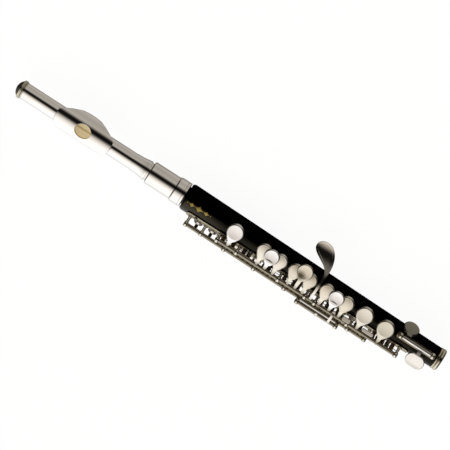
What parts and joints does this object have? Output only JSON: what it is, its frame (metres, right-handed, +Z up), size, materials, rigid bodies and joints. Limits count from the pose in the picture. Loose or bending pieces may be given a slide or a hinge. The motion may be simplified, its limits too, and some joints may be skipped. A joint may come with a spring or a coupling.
{
  "type": "piccolo",
  "caption": "Piccolo with a silver headjoint, a conical black body and a hinged Boehm-system key mechanism.",
  "frame": {"origin": "centre of the foot-end face, on the bore axis", "axes": "+X along the bore axis, out of the foot; +Z up, the way the embouchure and finger keys face; -Y towards the player's side, where the hinge rods run"},
  "size_m": [0.322, 0.045, 0.0292],
  "materials": {
    "body_black": "polished",
    "tenon_cork": "cork, waxed",
    "head_cork": "cork",
    "silver_ring": "silver plate",
    "silver_straps": "silver plate",
    "silver_posts": "silver plate",
    "silver_head": "silver plate",
    "silver_keys": "silver plate",
    "screw_steel": "turned",
    "rod_steel": "ground",
    "spring_steel": "blued",
    "pad_skin": "skin over felt"
  },
  "bodies": {
    "body": {"body_tube": "body_black", "tenon_cork": "tenon_cork", "foot_ring": "silver_ring", "main_rib": "silver_straps", "thumb_rib": "silver_straps", "foot_rib": "silver_straps", "rib_screws": "screw_steel", "main_posts": "silver_posts", "trill_posts": "silver_posts", "side_posts": "silver_posts", "thumb_posts": "silver_posts", "foot_posts": "silver_posts", "left_rod": "rod_steel", "right_rod": "rod_steel", "side_rod": "rod_steel", "thumb_rod": "rod_steel", "foot_rod": "rod_steel", "needle_springs": "spring_steel"},
    "headjoint": {"head_tube": "silver_head", "lip_plate": "silver_head", "embouchure_riser": "silver_head", "head_socket": "silver_head", "socket_band": "silver_head"},
    "crown_cap": {"crown": "silver_head"},
    "cork_assembly": {"head_cork": "head_cork", "cork_screw": "screw_steel", "cork_nut": "screw_steel"},
    "c_sharp_key": {"c_key": "silver_keys", "c_pad": "pad_skin"},
    "b_flat_key": {"bb_key": "silver_keys", "bb_pad": "pad_skin"},
    "a_natural_key": {"a_key": "silver_keys", "a_pad": "pad_skin"},
    "g_natural_key": {"g_key": "silver_keys", "g_pads": "pad_skin"},
    "g_sharp_key": {"gs_key": "silver_keys", "gs_pad": "pad_skin"},
    "f_sharp_key": {"fs_key": "silver_keys", "fs_pad": "pad_skin"},
    "f_natural_key": {"f_key": "silver_keys", "f_pad": "pad_skin"},
    "e_natural_key": {"e_key": "silver_keys", "e_pad": "pad_skin"},
    "d_natural_key": {"d_key": "silver_keys", "d_pad": "pad_skin"},
    "d_sharp_key": {"ds_key": "silver_keys", "ds_pad": "pad_skin"},
    "trill_d_key": {"d_trill_key": "silver_keys", "d_trill_pad": "pad_skin"},
    "trill_d_sharp_key": {"ds_trill_key": "silver_keys", "ds_trill_pad": "pad_skin"},
    "side_b_flat_lever": {"side_lever": "silver_keys"},
    "thumb_b_key": {"b_key": "silver_keys", "b_pad": "pad_skin"},
    "thumb_b_flat_lever": {"bb_lever": "silver_keys"}
  },
  "joints": [
    {"name": "headjoint_slide", "type": "slide", "parent": "body", "child": "headjoint", "axis": [-1, 0, 0], "range_m": [0, 0.016]},
    {"name": "cork_slide", "type": "slide", "parent": "headjoint", "child": "cork_assembly", "axis": [1, 0, 0], "range_m": [-0.0007, 0.0007]},
    {"name": "crown_turn", "type": "hinge", "parent": "headjoint", "child": "crown_cap", "pos_m": [-0.318, 0, 0], "axis": [1, 0, 0], "range_deg": [-360, 360]},
    {"name": "c_key_turn", "type": "hinge", "parent": "body", "child": "c_sharp_key", "pos_m": [-0.1546, -0.0116, 0.0072], "axis": [1, 0, 0], "range_deg": [-6, 0]},
    {"name": "b_flat_key_turn", "type": "hinge", "parent": "body", "child": "b_flat_key", "pos_m": [-0.1328, -0.0116, 0.0072], "axis": [1, 0, 0], "range_deg": [-6, 0]},
    {"name": "a_key_turn", "type": "hinge", "parent": "body", "child": "a_natural_key", "pos_m": [-0.1208, -0.0116, 0.0072], "axis": [1, 0, 0], "range_deg": [-6, 0]},
    {"name": "g_key_turn", "type": "hinge", "parent": "body", "child": "g_natural_key", "pos_m": [-0.1039, -0.0116, 0.0072], "axis": [1, 0, 0], "range_deg": [-6, 0]},
    {"name": "g_sharp_key_turn", "type": "hinge", "parent": "body", "child": "g_sharp_key", "pos_m": [-0.0918, -0.0116, 0.0072], "axis": [1, 0, 0], "range_deg": [-5, 0]},
    {"name": "f_sharp_key_turn", "type": "hinge", "parent": "body", "child": "f_sharp_key", "pos_m": [-0.0856, -0.0116, 0.0072], "axis": [1, 0, 0], "range_deg": [-6, 0]},
    {"name": "f_key_turn", "type": "hinge", "parent": "body", "child": "f_natural_key", "pos_m": [-0.0709, -0.0116, 0.0072], "axis": [1, 0, 0], "range_deg": [-6, 0]},
    {"name": "e_key_turn", "type": "hinge", "parent": "body", "child": "e_natural_key", "pos_m": [-0.0571, -0.0116, 0.0072], "axis": [1, 0, 0], "range_deg": [-6, 0]},
    {"name": "d_key_turn", "type": "hinge", "parent": "body", "child": "d_natural_key", "pos_m": [-0.0414, -0.0116, 0.0072], "axis": [1, 0, 0], "range_deg": [-6, 0]},
    {"name": "d_sharp_key_turn", "type": "hinge", "parent": "body", "child": "d_sharp_key", "pos_m": [-0.019, 0.0015, 0.0106], "axis": [1, 0, 0], "range_deg": [0, 11]},
    {"name": "d_trill_turn", "type": "hinge", "parent": "body", "child": "trill_d_key", "pos_m": [-0.117, -0.0154, 0.0008], "axis": [1, 0, 0], "range_deg": [-9, 0]},
    {"name": "d_sharp_trill_turn", "type": "hinge", "parent": "body", "child": "trill_d_sharp_key", "pos_m": [-0.114, -0.0154, 0.0008], "axis": [1, 0, 0], "range_deg": [-9, 0]},
    {"name": "side_lever_turn", "type": "hinge", "parent": "body", "child": "side_b_flat_lever", "pos_m": [-0.08, -0.0176, 0.0045], "axis": [1, 0, 0], "range_deg": [-6, 0]},
    {"name": "thumb_b_turn", "type": "hinge", "parent": "body", "child": "thumb_b_key", "pos_m": [-0.1474, -0.0112, -0.008], "axis": [1, 0, 0], "range_deg": [0, 8]},
    {"name": "thumb_b_flat_turn", "type": "hinge", "parent": "body", "child": "thumb_b_flat_lever", "pos_m": [-0.1474, -0.0112, -0.008], "axis": [1, 0, 0], "range_deg": [0, 3]}
  ],
  "couplings": [
    {"joint": "crown_turn", "follows": "cork_slide", "rad_per_m": 8975.9},
    {"joint": "b_flat_key_turn", "follows": "a_key_turn", "ratio": 1},
    {"joint": "f_sharp_key_turn", "follows": "f_key_turn", "ratio": 1}
  ]
}
